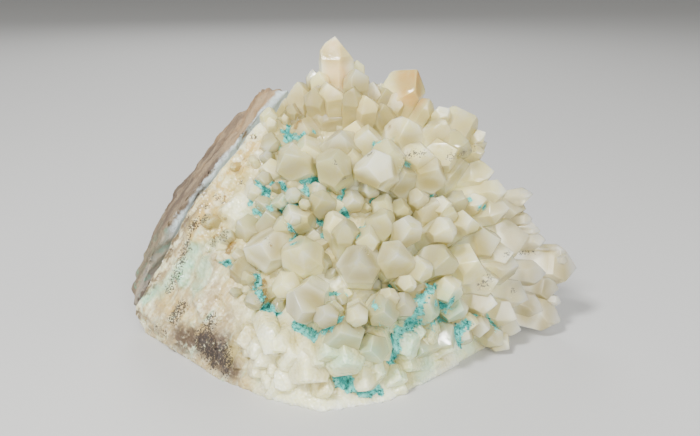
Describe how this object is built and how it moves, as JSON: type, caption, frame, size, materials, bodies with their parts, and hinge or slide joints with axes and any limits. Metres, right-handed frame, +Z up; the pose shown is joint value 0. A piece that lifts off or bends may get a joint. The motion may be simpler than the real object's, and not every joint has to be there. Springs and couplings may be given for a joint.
{
  "type": "quartz crystal cluster",
  "caption": "Loose cluster of milky quartz points on layered host rock, with blue-green copper mineral in its crevices, resting on a flat base.",
  "frame": {"origin": "centre of the bounding box at the resting face", "axes": "+Z up from the resting face, +X the long way towards the crystals that fan out sideways, -Y the side that the middle crystals point to"},
  "size_m": [0.0937, 0.078, 0.06],
  "materials": {
    "milky_quartz": "milky translucent crystal, frosted to glassy faces, with stained crevices",
    "layered_rock": "rough layered rock, tan to mauve brown",
    "copper_crust": "matt blue-green granular mineral crust"
  },
  "bodies": {
    "root": {"quartz_cluster": "milky_quartz", "host_rock": "layered_rock"}
  },
  "joints": []
}
